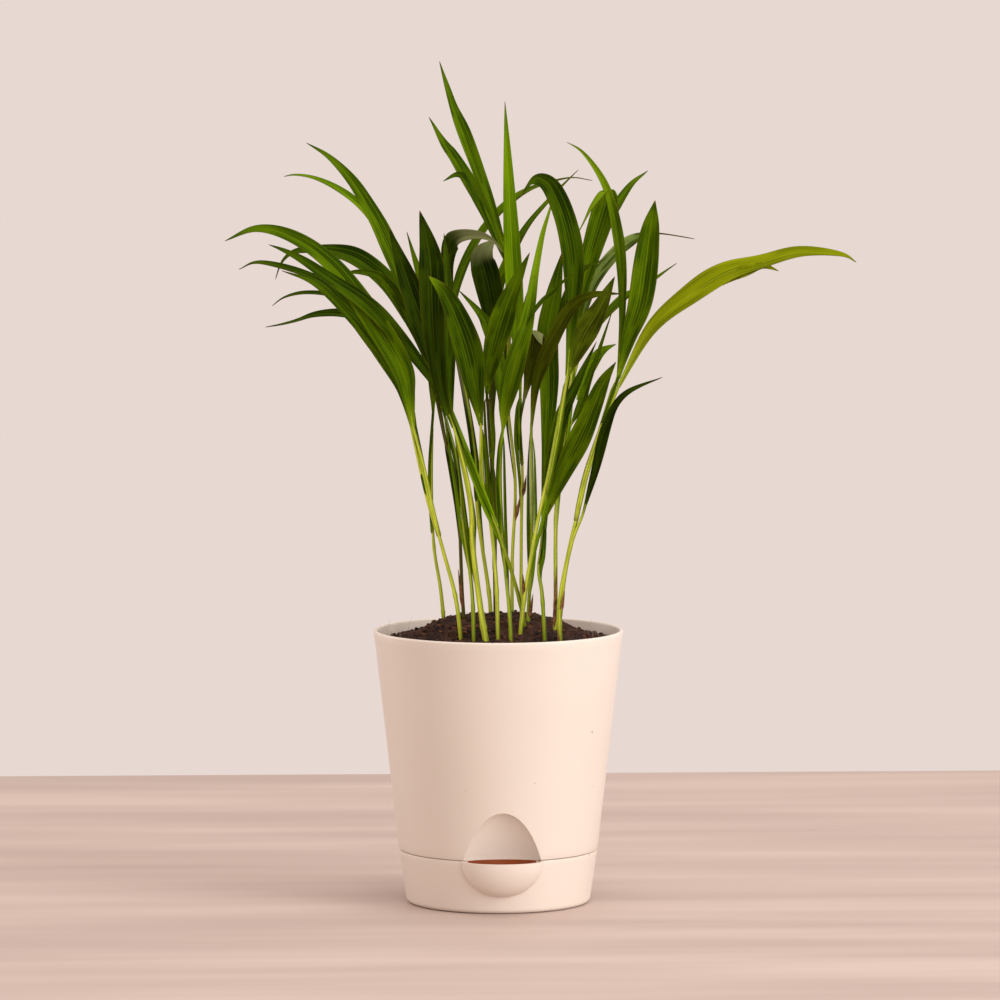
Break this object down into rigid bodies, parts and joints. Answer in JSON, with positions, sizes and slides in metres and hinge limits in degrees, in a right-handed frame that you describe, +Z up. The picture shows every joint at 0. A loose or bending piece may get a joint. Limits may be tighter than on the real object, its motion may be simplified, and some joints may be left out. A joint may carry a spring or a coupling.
{
  "type": "potted palm",
  "caption": "Clump of young palm shoots with arching narrow leaflets, growing in a tapered self-watering planter with a pouring lip.",
  "frame": {"origin": "centre of the flat underside of the reservoir tray, on the planter's axis", "axes": "+Z up along the planter's axis, -Y towards the pouring lip (the front), +X to the right seen from the front"},
  "size_m": [0.316, 0.1612, 0.4206],
  "materials": {
    "beige_plastic": "satin moulded plastic",
    "potting_mix": "loose dark potting mix with coir fibre",
    "stem_green": "smooth yellow-green stalk",
    "leaf_green": "semi-gloss green leaf"
  },
  "bodies": {
    "root": {"planter_shell": "beige_plastic", "reservoir_tray": "beige_plastic", "potting_soil": "potting_mix", "stem_01": "stem_green", "leaflet_01a": "leaf_green", "stem_02": "stem_green", "leaflet_02a": "leaf_green", "leaflet_02b": "leaf_green", "leaflet_02c": "leaf_green", "leaflet_02d": "leaf_green", "stem_03": "stem_green", "leaflet_03a": "leaf_green", "leaflet_03b": "leaf_green", "stem_04": "stem_green", "leaflet_04a": "leaf_green", "stem_05": "stem_green", "leaflet_05a": "leaf_green", "stem_06": "stem_green", "leaflet_06a": "leaf_green", "leaflet_06b": "leaf_green", "stem_07": "stem_green", "leaflet_07a": "leaf_green", "stem_08": "stem_green", "leaflet_08a": "leaf_green", "leaflet_08b": "leaf_green", "leaflet_08c": "leaf_green", "stem_09": "stem_green", "leaflet_09a": "leaf_green", "leaflet_09b": "leaf_green", "stem_10": "stem_green", "leaflet_10a": "leaf_green", "leaflet_10b": "leaf_green", "leaflet_10c": "leaf_green", "stem_11": "stem_green", "leaflet_11a": "leaf_green", "leaflet_11b": "leaf_green", "stem_12": "stem_green", "leaflet_12a": "leaf_green", "leaflet_12b": "leaf_green", "stem_13": "stem_green", "leaflet_13a": "leaf_green", "stem_14": "stem_green", "leaflet_14a": "leaf_green", "leaflet_14b": "leaf_green", "leaflet_14c": "leaf_green", "stem_15": "stem_green", "leaflet_15a": "leaf_green", "leaflet_15b": "leaf_green", "leaflet_15c": "leaf_green", "leaflet_15d": "leaf_green", "leaflet_15e": "leaf_green", "stem_16": "stem_green", "leaflet_16a": "leaf_green", "leaflet_16b": "leaf_green", "leaflet_16c": "leaf_green", "leaflet_16d": "leaf_green", "stem_17": "stem_green", "leaflet_17a": "leaf_green", "leaflet_17b": "leaf_green", "leaflet_17c": "leaf_green"}
  },
  "joints": []
}
